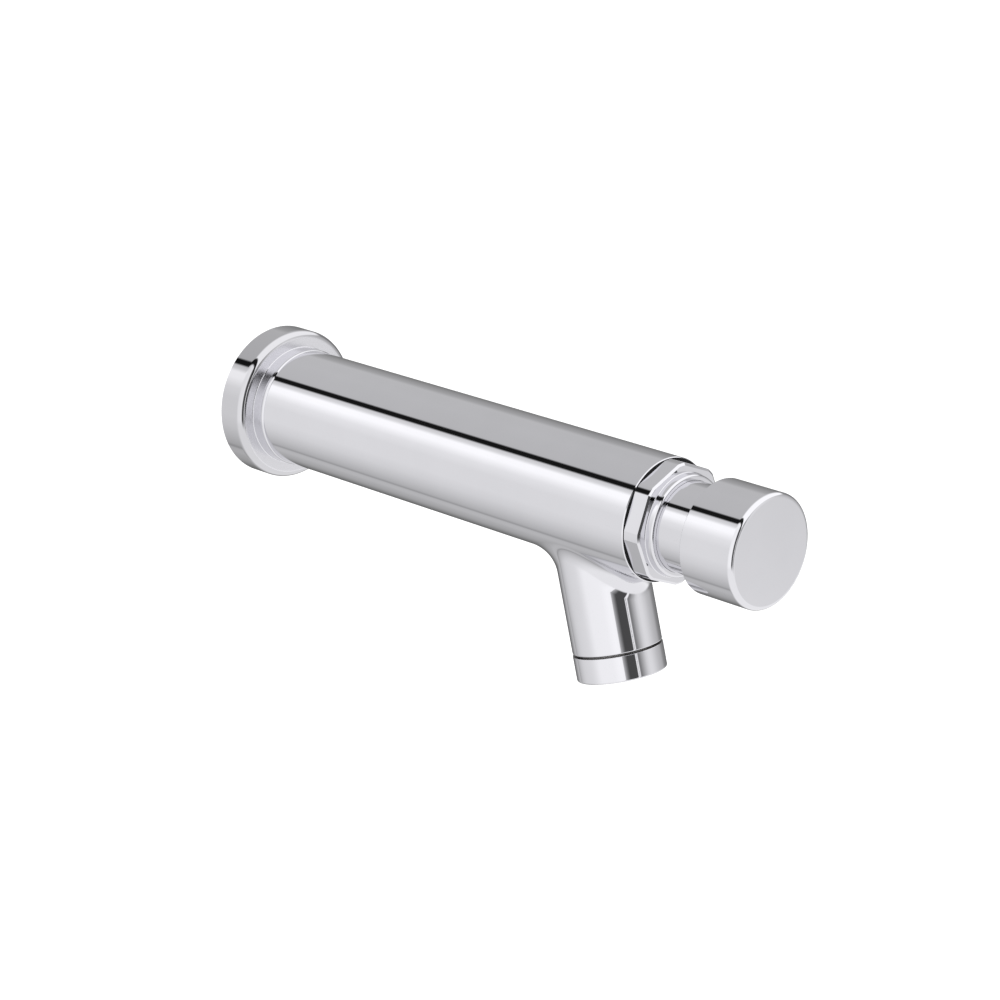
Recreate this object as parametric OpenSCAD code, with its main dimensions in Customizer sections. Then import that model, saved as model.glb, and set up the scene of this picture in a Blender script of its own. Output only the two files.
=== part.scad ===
// Wall mounted push tap that closes by itself after a set time.
// The wall is the plane y = 0, the barrel runs along -Y and the spout hangs down.

/* [Barrel] */
// Outside diameter of the barrel
barrel_d = 38; // [37:0.5:44]
// Distance from the wall to the front end of the barrel
barrel_length = 173; // [165:1:210]
// Thickness of the cast wall round the waterway
barrel_wall = 3.5; // [2.5:0.1:4.5]
// Distance from the wall to the barrel's back face
barrel_back = 5; // [4:0.5:7]
// Step down from the barrel to the turned spigot that carries the wall flange
spigot_step = 1.5; // [1:0.1:2]
// Wall of the barrel's threaded mouth
mouth_wall = 2.1; // [1.8:0.1:2.6]
// Chamfer on the front edge of the barrel
barrel_chamfer = 0.4; // [0.2:0.1:0.8]

/* [Wall flange] */
// Outside diameter of the flange
flange_d = 49.4; // [45:0.2:60]
// Distance from the wall to the flange's front face
flange_face = 9.8; // [8.5:0.1:11]
// Distance from the wall to the front end of the flange's collar
flange_depth = 14.8; // [13:0.1:18]
// Rounding of the rim's front edge
flange_edge = 1.5; // [0.8:0.1:2.2]
// Radius of the collar's crowned side
collar_crown = 14; // [12:0.5:20]
// Radius of the hollow corner between the flange's face and its collar
collar_root = 0.5; // [0.3:0.1:1]
// Height of the collar's front edge above the barrel
collar_step = 0.3; // [0.2:0.1:0.6]
// Thickness of the flange's rim wall
flange_wall = 2.2; // [1.8:0.1:3]
// Width of the foam ring in the flange's hollow
gasket_w = 2.4; // [1.5:0.1:3]

/* [Inlet] */
// Outside diameter of the half inch pipe thread
inlet_thread_d = 20.955; // [19:0.005:23]
// Length of thread that goes into the wall
inlet_thread_length = 15; // [12:0.5:20]
// Length of thread that goes into the barrel
inlet_grip = 12; // [9:0.5:15]
// Diameter of the waterway through the nipple
nipple_bore = 14; // [12:0.5:15]
// Height of the nipple's hexagon
nipple_hex_h = 3.5; // [3:0.5:3.5]
// Thickness of the inlet ring seal
inlet_ring = 1.8; // [1.4:0.1:2.2]
// Rise of the hexagon's flats above the thread
hex_rise = 1.5; // [1:0.1:2.5]
// Chamfer on the end of the thread
thread_chamfer = 0.8; // [0.5:0.1:1.2]
// Depth of the relief between the thread and the hexagon
relief_depth = 1; // [0.6:0.1:1.4]
// Diameter of the metering hole in the flow restrictor
restrictor_hole = 3.2; // [2:0.2:5]
// Thickness of the flow restrictor
restrictor_h = 4; // [3:0.5:5]
// Width of the ledge that stops the flow restrictor
restrictor_ledge = 1.2; // [0.8:0.1:2]
// Depth of the strainer cup
filter_depth = 12; // [9:0.5:13]
// Width and depth of the recess for the strainer's rim
filter_ledge = 1.2; // [0.8:0.1:1.6]
// Wall of the strainer cup
filter_skin = 1; // [0.8:0.1:1.4]
// Number of slots in the strainer
filter_slots = 8; // [6:1:12]
// Width of a strainer slot
filter_slot_w = 1.6; // [1:0.1:2]

/* [Spout] */
// Outside diameter of the spout
spout_d = 27.5; // [26.5:0.5:29]
// Lean of the spout from straight down, towards the front
spout_lean = 15; // [8:1:18]
// Distance from the barrel's front end back to the spout's axis
spout_setback = 30.7; // [29:0.1:34]
// Distance from the barrel's axis to the outlet
spout_length = 55.1; // [52:0.5:75]
// Diameter of the water passage in the spout
passage_d = 15; // [12:0.5:16]
// Radius of the blend behind the spout
blend_rear = 13.5; // [9:0.5:14]
// Radius of the blend in front of the spout
blend_front = 6.5; // [4:0.5:7]

/* [Aerator] */
// Diameter of the aerator's visible ring
ring_d = 27.7; // [26.5:0.1:29]
// Height of the visible ring
ring_h = 8; // [6:0.5:10]
// Rounding of the ring's lower edge
ring_round = 0.6; // [0.3:0.1:1]
// Open line between the spout and the ring
ring_gap = 0.5; // [0.3:0.1:0.8]
// Diameter of the aerator's thread
aerator_thread_d = 23.5; // [22.5:0.1:24]
// Length of the aerator's thread
aerator_thread_h = 8.6; // [7:0.1:10]
// Thickness of the aerator's seal
aerator_seal_h = 2; // [1.5:0.1:2.5]
// Width of the aerator's seal
aerator_seal_w = 2.2; // [1.6:0.1:3]
// Diameter of the pocket for the aerator's inner pieces
aerator_pocket_d = 20.8; // [20:0.1:21]
// Width of the lip that holds the inner pieces
aerator_lip = 1; // [0.6:0.1:1.4]
// Height of the lip that holds the inner pieces
aerator_lip_h = 1.9; // [1.2:0.1:2.5]
// Thickness of the outlet screen
screen_h = 0.8; // [0.6:0.1:1.2]
// Spacing of the screen's openings
screen_pitch = 2; // [1.6:0.1:2.4]
// Width of a screen opening
screen_hole = 1.4; // [1:0.1:1.5]
// Least width of the screen's rim
screen_rim = 1.4; // [1:0.1:2]
// Thickness of the drilled flow plate
plate_h = 2.2; // [1.6:0.1:3]
// Diameter of a hole in the flow plate
plate_hole = 1.6; // [1:0.1:1.8]
// Diameter of the flow plate's inner ring of holes
plate_inner_d = 6.4; // [5:0.2:8]
// Number of holes in the inner ring
plate_inner_holes = 6; // [4:1:8]
// Diameter of the flow plate's outer ring of holes
plate_outer_d = 13.6; // [11:0.2:15]
// Number of holes in the outer ring
plate_outer_holes = 12; // [8:1:16]
// Wall of the mixing tube
insert_wall = 1.2; // [0.8:0.1:1.6]
// Thickness of the mixing tube's vanes
insert_vane = 1; // [0.6:0.1:1.4]

/* [Bonnet nut] */
// Thickness of the black washer between the barrel and the nut
nut_washer_h = 0.4; // [0.3:0.1:0.8]
// Depth of the washer's edge below the round of the barrel
nut_washer_in = 0.8; // [0.6:0.05:1]
// Depth of the eight flats below the round of the barrel
nut_flat_depth = 1.15; // [0.9:0.05:1.4]
// Length of the flats
nut_flat_h = 5; // [4:0.1:8]
// Height of the bevel in front of the flats
bevel_h = 1; // [0.6:0.1:1.5]
// Inward reach of the bevel at the corners
bevel_in = 1; // [0.6:0.1:1.3]
// Height of the round lip in front of the bevel
lip_h = 2.1; // [1.6:0.1:2.5]
// Thickness of the round lip
lip_wall = 1.7; // [1.5:0.1:2]
// Rounding of the lip's edge
lip_round = 0.6; // [0.3:0.1:0.9]
// Thickness of the shelf under the lip that keeps the wiper in
lip_shelf = 2.2; // [1.6:0.1:3]
// Wall of the threaded tail
tail_wall = 1.5; // [1.2:0.1:1.8]

/* [Button] */
// Wall of the sliding neck
neck_wall = 2; // [1.5:0.1:2.5]
// Floor of the sliding neck
neck_floor = 4; // [3:0.1:5]
// Height of the nut that holds the stem in the neck
stem_nut_h = 4.5; // [3.5:0.1:6]
// Diameter of the push cap
cap_d = 34.9; // [32:0.1:40]
// Length of the push cap
cap_h = 19.4; // [15:0.2:25]
// Rounding of the cap's front edge
cap_round = 1.6; // [0.8:0.1:2.4]
// Thickness of the cap's face
cap_face_h = 3.5; // [2.5:0.1:5]
// Room between the neck's front end and the cap's face
cap_seat_gap = 0.2; // [0.1:0.05:0.4]
// Space between the nut and the cap at rest
cap_gap = 12; // [11:0.1:16]
// Travel of the button
stroke = 9; // [7:0.5:10]
// Height of the ledge that keeps the neck in the nut
stop_h = 2; // [1.5:0.1:2.5]
// Reach of that ledge
stop_reach = 1.1; // [0.8:0.1:1.1]
// Length of the guide bush
bush_h = 6.4; // [5:0.1:6.8]
// Wall of the guide bush
bush_wall = 1.4; // [1.3:0.1:1.6]

/* [Timing cartridge] */
// Diameter of the stem
stem_d = 6; // [5:0.2:7]
// Diameter of the stem's thread under the valve
stem_thread_d = 5; // [4:0.1:5.2]
// Diameter of the stem between the piston and the neck
stem_front_d = 8; // [7.5:0.1:10]
// Length of the timing cylinder
cylinder_length = 49; // [46:0.5:52]
// Wall of the timing cylinder
cylinder_wall = 1.6; // [1.2:0.1:2]
// Depth of the water space round the cylinder
waist_depth = 1.5; // [1:0.1:1.8]
// Thickness of the cylinder's clamping flange
clamp_h = 2.2; // [1.6:0.1:3]
// Width of the ledge that the flange is clamped on
clamp_step = 1.6; // [1.2:0.1:2]
// Thickness of the seal under the flange
bonnet_seal_h = 1.5; // [1:0.1:2]
// Length of the collar that guides the cylinder in the barrel
guide_collar_h = 2; // [1.5:0.1:3]
// Length of the cage with the water windows
cage_h = 14; // [12:0.5:15]
// Height of the ring at the cage's end
cage_ring = 3; // [2:0.1:4]
// Height left between a window and the partition
cage_post = 1.5; // [1:0.1:2]
// Number of water windows
window_count = 4; // [3:1:4]
// Width of a water window
window_w = 10; // [7:0.5:12]
// Thickness of the partition below the timing chamber
partition_h = 4.5; // [4:0.1:5.5]
// Distance from the cylinder's front end to the piston
piston_inset = 4; // [3:0.1:5]
// Thickness of the piston's head
piston_h = 3.5; // [2.5:0.1:4]
// Wall of the piston's nose round the stem
piston_nose_wall = 4.2; // [3.5:0.1:5]
// Height of the piston's cup seal
cup_h = 4; // [3.4:0.1:4.6]
// Width of the groove that frees the seal's lip
cup_groove_w = 1.2; // [0.8:0.1:1.6]
// Depth of the groove that frees the seal's lip
cup_groove_h = 2; // [1.5:0.1:2.5]
// Thickness of the spring washer on the piston
spring_washer_h = 1.5; // [1:0.1:2]
// Thickness of the piston's spring clip
clip_h = 0.8; // [0.6:0.1:1]
// Depth of the clip's groove in the stem
clip_groove = 0.6; // [0.4:0.1:0.8]
// Reach of the clip beyond the stem
clip_reach = 1.6; // [1:0.1:2]
// Opening of the clip, in degrees
clip_mouth = 70; // [40:5:100]
// Distance of the timing jet from the stem's axis
jet_offset = 9; // [8:0.1:10]
// Bore of the timing jet
jet_hole = 0.6; // [0.4:0.1:1]
// Diameter of the timing jet
jet_d = 2.6; // [2:0.1:3]
// Wire of the return spring
spring_wire = 1.2; // [0.9:0.1:1.3]
// Mean diameter of the return spring
spring_d = 14; // [13:0.2:16]
// Turns of the return spring
spring_turns = 5; // [4:1:6]

/* [Valve] */
// Bore of the valve seat
seat_bore = 14; // [12:0.2:15]
// Diameter of the seat where it enters the barrel's web
seat_d = 24.8; // [23.6:0.2:25.6]
// Thickness of the seat's flange
seat_flange_h = 2.5; // [2:0.1:3.5]
// Thickness of the barrel's web round the seat
web_h = 8; // [7:0.2:10]
// Height of the seat's sealing lip
seat_lip_h = 1; // [0.6:0.1:1.5]
// Width of the seat's sealing lip
seat_lip = 1.2; // [0.8:0.1:1.6]
// Depth of the seat's groove for its ring seal
seat_groove = 1.1; // [0.8:0.1:1.3]
// Reach of the valve washer beyond the sealing lip
washer_cover = 0.7; // [0.4:0.1:1.2]
// Thickness of the valve washer
washer_h = 3.5; // [3:0.1:4.5]
// Part of the washer that stands out of its holder
washer_proud = 1; // [0.6:0.1:1.4]
// Wall of the washer's holder
holder_wall = 0.9; // [0.6:0.1:1.2]
// Floor of the washer's holder
holder_floor = 3.5; // [2:0.1:5]
// Height of the nut that holds the valve on the stem
valve_nut_h = 4; // [3:0.1:5]
// Meat of a small nut round its thread
nut_meat = 1.5; // [1.2:0.1:2]
// Thread that stands out of a small nut
thread_tail = 1.5; // [1:0.1:2]
// Section of the small ring seals
ring_section = 1.4; // [1.2:0.1:1.5]

/* [Clearances] */
// Radial room of a sliding piece in its guide
running_gap = 0.05; // [0.02:0.01:0.1]
// Radial room between a seal and what it wipes
seal_gap = 0.03; // [0.02:0.01:0.1]
// Radial room of a piece that is slipped or screwed into another
slip_gap = 0.1; // [0.05:0.01:0.2]
// Room left between moving pieces that never touch
free_gap = 0.3; // [0.2:0.05:0.5]
// End room at the full stroke
end_gap = 0.6; // [0.4:0.1:1]

/* [Hidden] */
$fn = 96;
// Overshoot of a cut past the face that it opens
cut = 1;
chrome = [0.82, 0.83, 0.85];
brass = [0.78, 0.63, 0.32];
steel = [0.62, 0.64, 0.66];
rubber = [0.12, 0.12, 0.13];
white_plastic = [0.92, 0.92, 0.90];
grey_plastic = [0.55, 0.57, 0.60];

// Radii of the outside
barrel_r = barrel_d / 2;
spigot_r = barrel_r - spigot_step;
flange_r = flange_d / 2;
rim_in_r = flange_r - flange_wall;
hub_r = rim_in_r - gasket_w - 2 * slip_gap;
spout_r = spout_d / 2;
passage_r = passage_d / 2;
ring_r = ring_d / 2;
cap_r = cap_d / 2;
thread_r = inlet_thread_d / 2;

// Radii from the barrel's mouth in to the button's neck
mouth_r = barrel_r - mouth_wall;
tail_r = mouth_r - slip_gap;
nut_bore_r = tail_r - tail_wall;
neck_r = nut_bore_r - bush_wall;
stop_r = neck_r + stop_reach;
neck_in_r = neck_r - neck_wall;
lip_r = neck_r + lip_wall;

// Radii from the barrel's mouth in to the stem
chamber_r = tail_r - clamp_step;
cylinder_r = chamber_r - slip_gap;
waist_r = cylinder_r - waist_depth;
bore_r = waist_r - cylinder_wall;
piston_r = bore_r - free_gap;
stem_r = stem_d / 2;
stem_thread_r = stem_thread_d / 2;
stem_front_r = stem_front_d / 2;
water_r = barrel_r - barrel_wall;
seat_r = seat_d / 2;
web_r = seat_r + slip_gap;
seat_bore_r = seat_bore / 2;
seat_lip_r = seat_bore_r + seat_lip;
valve_r = seat_lip_r + washer_cover;
holder_r = valve_r + slip_gap + holder_wall;

// Distances from the wall, from the front of the tap back to the valve
front = barrel_length;
nut_back = front + nut_washer_h;
flats_end = nut_back + nut_flat_h;
bevel_end = flats_end + bevel_h;
nut_front = bevel_end + lip_h;
cap_back = nut_front + cap_gap;
cap_face = cap_back + cap_h;
wiper_room = ring_section + 2 * slip_gap;
wiper_front = nut_front - lip_shelf;
bush_front = wiper_front - wiper_room;
bush_back = bush_front - bush_h;
stop_front = bush_back - 2 * slip_gap;
neck_back = stop_front - stop_h;
tail_back = neck_back - stroke - end_gap;
clamp_back = tail_back - clamp_h;
mouth_floor = clamp_back - bonnet_seal_h;
cylinder_back = tail_back - cylinder_length;
piston_front = tail_back - piston_inset;
piston_back = piston_front - piston_h;
cup_back = piston_back - cup_h;
spring_front = cup_back - spring_washer_h;
partition_back = cylinder_back + cage_h;
partition_front = partition_back + partition_h;
web_front = cylinder_back - seat_flange_h;
web_back = web_front - web_h;
seat_edge = web_back - seat_lip_h;
washer_back = seat_edge - washer_h;
holder_back = washer_back - holder_floor;
holder_front = seat_edge - washer_proud;

// Distances from the wall along the inlet
hex_back = barrel_back - nipple_hex_h;
nipple_end = barrel_back + inlet_grip;
nipple_r = nipple_bore / 2;
restrictor_shelf = nipple_end - restrictor_h;

// Distances along the spout, from the barrel's axis to the outlet
spout_s = front - spout_setback;
ring_top = spout_length - ring_h;
spout_end = ring_top - ring_gap;
aerator_thread_r = aerator_thread_d / 2;
aerator_top = ring_top - aerator_thread_h;
aerator_seat = aerator_top - aerator_seal_h - slip_gap;
pocket_r = aerator_pocket_d / 2;
insert_r = pocket_r - slip_gap;
pocket_floor = spout_length - aerator_lip_h;
outlet_r = pocket_r - aerator_lip;
screen_top = pocket_floor - screen_h;
plate_bottom = aerator_top + plate_h;

// Turns a shape drawn along +Z so that it runs out of the wall, along the barrel
module along_barrel() {
    rotate([90, 0, 0]) children();
}

// Puts a shape drawn along +Z on the spout's axis, with z = 0 on the barrel's axis
module along_spout() {
    along_barrel() translate([0, 0, spout_s]) rotate([90 - spout_lean, 0, 0]) children();
}

// Rectangle of a turned profile, from one radius to another and one distance to another
module band(inner, outer, from, to) {
    translate([inner, from]) square([outer - inner, to - from]);
}

// The same with its outer corner at the far end rounded
module rounded_band(inner, outer, from, to, round) {
    band(inner, outer - round, from, to);
    band(inner, outer, from, to - round);
    translate([outer - round, to - round]) circle(round);
}

// Plain turned ring or disc
module turned(inner, outer, from, to) {
    rotate_extrude() band(inner, outer, from, to);
}

// Round seal of a round section, lying on a shaft of the given radius
module seal_ring(shaft_r, section, middle) {
    translate([0, 0, middle])
        rotate_extrude() translate([shaft_r + section / 2, 0]) circle(section / 2);
}

// Hexagon bar over flats at the given distance from its axis
module hex_bar(flat_r, from, to) {
    translate([0, 0, from]) cylinder(r = flat_r / cos(30), h = to - from, $fn = 6);
}

// Wall flange: a turned cover with a rounded rim and a crowned collar round the barrel
module flange_profile() {
    collar_r = barrel_r + collar_step;
    crown_middle = collar_r - sqrt(pow(collar_crown, 2) - pow(flange_depth - flange_face, 2));
    root_reach = collar_crown + collar_root;
    root_middle = crown_middle + sqrt(pow(root_reach, 2) - pow(collar_root, 2));
    root_top = flange_face + collar_root * collar_crown / root_reach;
    rounded_band(spigot_r + slip_gap, flange_r, 0, flange_face, flange_edge);
    intersection() {
        band(spigot_r + slip_gap, root_middle, flange_face - cut, flange_depth);
        translate([crown_middle, flange_face]) circle(collar_crown);
    }
    difference() {
        band(collar_r, root_middle, flange_face - flange_edge, root_top);
        translate([root_middle, flange_face + collar_root]) circle(collar_root);
    }
}

module wall_flange() {
    color(chrome) along_barrel() rotate_extrude() difference() {
        flange_profile();
        band(hub_r, rim_in_r, -cut, flange_face - flange_wall);
    }
}

// Foam ring that fills the flange's hollow and seals on the wall
module flange_gasket() {
    color(rubber) along_barrel()
        turned(hub_r + slip_gap, rim_in_r - slip_gap, 0, flange_face - flange_wall - slip_gap);
}

// Blend between the barrel and the spout, as the surface that a ball rolled round the joint
// leaves. The ball grows from the front of the spout to the back.
blend_steps = 48;
arc_steps = 7;
blend_sink = 0.25;
blend_root = 1.2;

function ball_r(a) = (blend_rear + blend_front) / 2 - (blend_rear - blend_front) / 2 * sin(a);
// Unit vector out of the spout at an angle round it, in x, up and out of the wall
function spout_out(a) = [cos(a), sin(a) * sin(spout_lean), sin(a) * cos(spout_lean)];
spout_along = [0, -cos(spout_lean), sin(spout_lean)];
// Where a line beside the spout's axis, at a distance out, meets a tube round the barrel's axis
function spout_reach(a, out, tube_r) =
    (sqrt(pow(tube_r, 2) - pow(out * cos(a), 2)) + out * sin(a) * sin(spout_lean))
    / cos(spout_lean);
function meeting(a, out, tube_r) =
    [0, 0, spout_s] + spout_reach(a, out, tube_r) * spout_along + out * spout_out(a);
function ball_centre(a) = meeting(a, spout_r + ball_r(a), barrel_r + ball_r(a));
function to_spout(a) = -spout_out(a);
function to_barrel(a) =
    let (c = ball_centre(a)) -[c.x, c.y, 0] / (barrel_r + ball_r(a));
// Direction from the ball's centre to its surface, a share of the way from spout to barrel
function ball_turn(a, share) =
    let (from = to_spout(a), to = to_barrel(a), wide = acos(from * to))
    (sin((1 - share) * wide) * from + sin(share * wide) * to) / sin(wide);
function blend_section(a) = concat(
    [ball_centre(a) + (ball_r(a) + blend_sink) * to_spout(a)],
    [for (k = [1 : arc_steps - 1]) ball_centre(a) + ball_r(a) * ball_turn(a, k / arc_steps)],
    [ball_centre(a) + (ball_r(a) + blend_sink) * to_barrel(a)],
    [meeting(a, spout_r - blend_root, barrel_r - blend_root)]);

// Faces that join equal rings of points into one closed band, as triangles
function ring_faces(rings, sides, closed) = [
    for (i = [0 : rings - (closed ? 1 : 2)], j = [0 : sides - 1])
        let (a = i * sides + j, b = i * sides + (j + 1) % sides,
            c = ((i + 1) % rings) * sides + j, d = ((i + 1) % rings) * sides + (j + 1) % sides)
        each [[a, b, d], [a, d, c]]];

module spout_blend() {
    sections = [for (i = [0 : blend_steps - 1]) each blend_section(-360 * i / blend_steps)];
    polyhedron(sections, ring_faces(blend_steps, arc_steps + 2, true));
}

// Tap body: one casting of barrel and spout, bored for the inlet, the cartridge and the aerator
module body_outside() {
    along_barrel() rotate_extrude() {
        band(0, spigot_r, barrel_back, flange_depth + cut);
        polygon([[0, flange_depth], [barrel_r, flange_depth], [barrel_r, front - barrel_chamfer],
            [barrel_r - barrel_chamfer, front], [0, front]]);
    }
    along_spout() cylinder(r = spout_r, h = spout_end);
    along_barrel() spout_blend();
}

module body_bores() {
    along_barrel() rotate_extrude() {
        band(0, thread_r + slip_gap, barrel_back - cut, nipple_end + cut);
        band(0, thread_r + slip_gap + inlet_ring, barrel_back - cut, barrel_back + inlet_ring);
        band(0, water_r, nipple_end, web_back);
        band(0, web_r, web_back - cut, web_front + cut);
        band(0, chamber_r, web_front, mouth_floor + cut);
        band(0, mouth_r, mouth_floor, front + cut);
    }
    along_spout() {
        translate([0, 0, waist_r]) cylinder(r = passage_r, h = spout_end - waist_r);
        translate([0, 0, aerator_seat])
            cylinder(r = aerator_thread_r + slip_gap, h = spout_end - aerator_seat + cut);
    }
}

module tap_body() {
    color(chrome) difference() {
        body_outside();
        body_bores();
    }
}

// Inlet nipple: a double ended screw with a hexagon that pulls up on the barrel's ring seal
module inlet_nipple() {
    root_r = thread_r - relief_depth;
    color(brass) along_barrel() difference() {
        union() {
            rotate_extrude() {
                polygon([[0, -inlet_thread_length], [thread_r - thread_chamfer, -inlet_thread_length],
                    [thread_r, thread_chamfer - inlet_thread_length], [thread_r, 0], [0, 0]]);
                band(0, root_r, -cut, hex_back + cut);
                band(0, thread_r, barrel_back - cut, nipple_end);
            }
            hex_bar(thread_r + hex_rise, hex_back, barrel_back);
        }
        rotate_extrude() {
            band(0, nipple_r, -inlet_thread_length - cut, restrictor_shelf);
            band(0, nipple_r - restrictor_ledge, restrictor_shelf - cut, nipple_end + cut);
            band(0, nipple_r + filter_ledge, -inlet_thread_length - cut,
                filter_ledge - inlet_thread_length);
        }
    }
}

module inlet_o_ring() {
    section = inlet_ring - 2 * seal_gap;
    color(rubber) along_barrel()
        seal_ring(thread_r + seal_gap, section, barrel_back + inlet_ring / 2);
}

// Strainer: a slotted cup that hangs by its rim in the end of the nipple
module inlet_filter() {
    cup_r = nipple_r - filter_skin;
    end = filter_depth - inlet_thread_length;
    color(white_plastic) along_barrel() difference() {
        rotate_extrude() {
            band(cup_r - filter_skin, nipple_r + filter_ledge - slip_gap, -inlet_thread_length,
                filter_ledge - inlet_thread_length);
            band(cup_r - filter_skin, cup_r, -inlet_thread_length, end);
            band(0, cup_r, end - filter_skin, end);
        }
        for (i = [0 : filter_slots - 1]) rotate(i * 360 / filter_slots)
            translate([cup_r - 2 * filter_skin, -filter_slot_w / 2,
                2 * filter_ledge - inlet_thread_length])
                cube([3 * filter_skin, filter_slot_w, filter_depth - 2 * filter_ledge - 2 * filter_skin]);
    }
}

// Flow restrictor: a disc with one metering hole that widens towards the tap
module flow_restrictor() {
    hole_r = restrictor_hole / 2;
    outer_r = nipple_r - slip_gap;
    back = restrictor_shelf - restrictor_h;
    color(white_plastic) along_barrel() rotate_extrude()
        polygon([[hole_r, back], [outer_r, back], [outer_r, restrictor_shelf],
            [2 * hole_r, restrictor_shelf], [hole_r, back + restrictor_h / 2]]);
}

// Valve seat: a flanged bush with a raised lip towards the inlet and a groove for its ring seal
module valve_seat() {
    groove_middle = (web_back + web_front) / 2;
    color(brass) along_barrel() rotate_extrude() difference() {
        union() {
            band(seat_bore_r, cylinder_r, web_front, cylinder_back);
            band(seat_bore_r, seat_r, web_back, web_front + seat_flange_h / 2);
            band(seat_bore_r, seat_lip_r, seat_edge, web_back + cut);
        }
        band(seat_r - seat_groove, seat_r + cut, groove_middle - wiper_room / 2,
            groove_middle + wiper_room / 2);
    }
}

module seat_o_ring() {
    section = seat_groove + slip_gap - 2 * seal_gap;
    color(rubber) along_barrel()
        seal_ring(seat_r - seat_groove + seal_gap, section, (web_back + web_front) / 2);
}

module valve_washer() {
    color(rubber) along_barrel()
        turned(stem_thread_r + slip_gap, valve_r, washer_back, seat_edge);
}

module valve_holder() {
    color(brass) along_barrel() rotate_extrude() difference() {
        band(stem_thread_r + slip_gap, holder_r, holder_back, holder_front);
        band(0, valve_r + slip_gap, washer_back, holder_front + cut);
    }
}

module valve_nut() {
    color(brass) along_barrel() difference() {
        hex_bar(stem_thread_r + nut_meat, holder_back - valve_nut_h, holder_back);
        translate([0, 0, holder_back - valve_nut_h - cut])
            cylinder(r = stem_thread_r + slip_gap, h = valve_nut_h + 2 * cut);
    }
}

// Stem: one turned rod with a shoulder under the valve washer, a groove for the piston's clip
// and a thicker length up to the button's neck
module stem() {
    color(steel) along_barrel() rotate_extrude() difference() {
        union() {
            band(0, stem_thread_r, holder_back - valve_nut_h - thread_tail, seat_edge + cut);
            band(0, stem_r, seat_edge, piston_front + cut);
            band(0, stem_front_r, piston_front, neck_back);
            band(0, stem_thread_r, neck_back - cut, neck_back + neck_floor + stem_nut_h + thread_tail);
        }
        band(stem_r - clip_groove, stem_r + cut, spring_front - clip_h - slip_gap, spring_front);
    }
}

// Timing cylinder: a sleeve with a windowed cage behind, a partition that the stem passes
// through, the piston's bore and a flange that the bonnet nut clamps
module timing_cylinder() {
    seal_middle = (partition_back + partition_front) / 2;
    color(grey_plastic) along_barrel() difference() {
        rotate_extrude() difference() {
            union() {
                band(bore_r, cylinder_r, cylinder_back, cylinder_back + cage_ring);
                band(bore_r, waist_r, cylinder_back, tail_back);
                band(stem_r + running_gap, waist_r, partition_back, partition_front);
                band(bore_r, cylinder_r, mouth_floor - guide_collar_h, tail_back);
                band(bore_r, mouth_r - slip_gap, clamp_back, tail_back);
            }
            band(0, stem_r + ring_section, seal_middle - wiper_room / 2, seal_middle + wiper_room / 2);
        }
        for (i = [0 : window_count - 1]) rotate(i * 360 / window_count)
            translate([0, -window_w / 2, cylinder_back + cage_ring])
                cube([waist_r + cut, window_w, cage_h - cage_ring - cage_post]);
        translate([0, jet_offset, partition_back - cut])
            cylinder(d = jet_d + 2 * slip_gap, h = partition_h + 2 * cut);
    }
}

module timing_jet() {
    color(brass) along_barrel() translate([0, jet_offset, 0])
        turned(jet_hole / 2, jet_d / 2, partition_back, partition_front);
}

module stem_o_ring() {
    section = ring_section - 2 * seal_gap;
    color(rubber) along_barrel()
        seal_ring(stem_r + seal_gap, section, (partition_back + partition_front) / 2);
}

// Return spring: an open coil between the partition and the piston's washer
coil_steps = 8;
wire_sides = 6;
spring_room = spring_front - partition_front - spring_wire - 2 * free_gap;
function coil_middle(i) =
    let (turn = i / coil_steps)
    [spring_d / 2 * cos(360 * turn), spring_d / 2 * sin(360 * turn),
        partition_front + free_gap + spring_wire / 2 + spring_room * turn / spring_turns];
function coil_ring(i) = [
    for (k = [0 : wire_sides - 1])
        let (turn = 360 * i / coil_steps, side = 360 * k / wire_sides)
        coil_middle(i) + spring_wire / 2 * [cos(side) * cos(turn), cos(side) * sin(turn), sin(side)]];
coil_points = [for (i = [0 : spring_turns * coil_steps]) coil_middle(i)];
coil_gap = min([for (i = [0 : len(coil_points) - 1], j = [0 : len(coil_points) - 1])
    if (j - i > coil_steps / 2) norm(coil_points[i] - coil_points[j]) - spring_wire]);

module return_spring() {
    rings = len(coil_points);
    points = [for (i = [0 : rings - 1]) each coil_ring(i)];
    ends = [[for (k = [wire_sides - 1 : -1 : 0]) k],
        [for (k = [0 : wire_sides - 1]) (rings - 1) * wire_sides + k]];
    echo(least_gap_between_coils = coil_gap);
    color(steel) along_barrel()
        polyhedron(points, concat(ring_faces(rings, wire_sides, false), ends));
}

// Piston: a head with a nose that carries the cup seal
piston_nose_r = stem_r + slip_gap + piston_nose_wall;
module piston() {
    color(white_plastic) along_barrel() rotate_extrude() {
        band(stem_r + slip_gap, piston_r, piston_back, piston_front);
        band(stem_r + slip_gap, piston_nose_r, cup_back, piston_back + cut);
    }
}

// Cup seal: a ring with a groove behind it, so that its lip opens one way
module piston_cup_seal() {
    lip_middle = (piston_nose_r + bore_r) / 2;
    color(rubber) along_barrel() rotate_extrude() difference() {
        band(piston_nose_r + seal_gap, bore_r - running_gap, cup_back, piston_back);
        band(lip_middle - cup_groove_w / 2, lip_middle + cup_groove_w / 2, cup_back - cut,
            cup_back + cup_groove_h);
    }
}

module spring_washer() {
    color(steel) along_barrel()
        turned(stem_r + slip_gap, spring_d / 2 + spring_wire, spring_front, cup_back);
}

// Spring clip: a flat open ring in the stem's groove
module piston_clip() {
    color(steel) along_barrel() translate([0, 0, spring_front - clip_h])
        rotate(clip_mouth / 2) rotate_extrude(angle = 360 - clip_mouth)
            band(stem_r - clip_groove + seal_gap, stem_r + clip_reach, 0, clip_h);
}

module bonnet_seal() {
    color(rubber) along_barrel()
        turned(chamber_r + seal_gap, mouth_r - slip_gap, mouth_floor, clamp_back);
}

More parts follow.
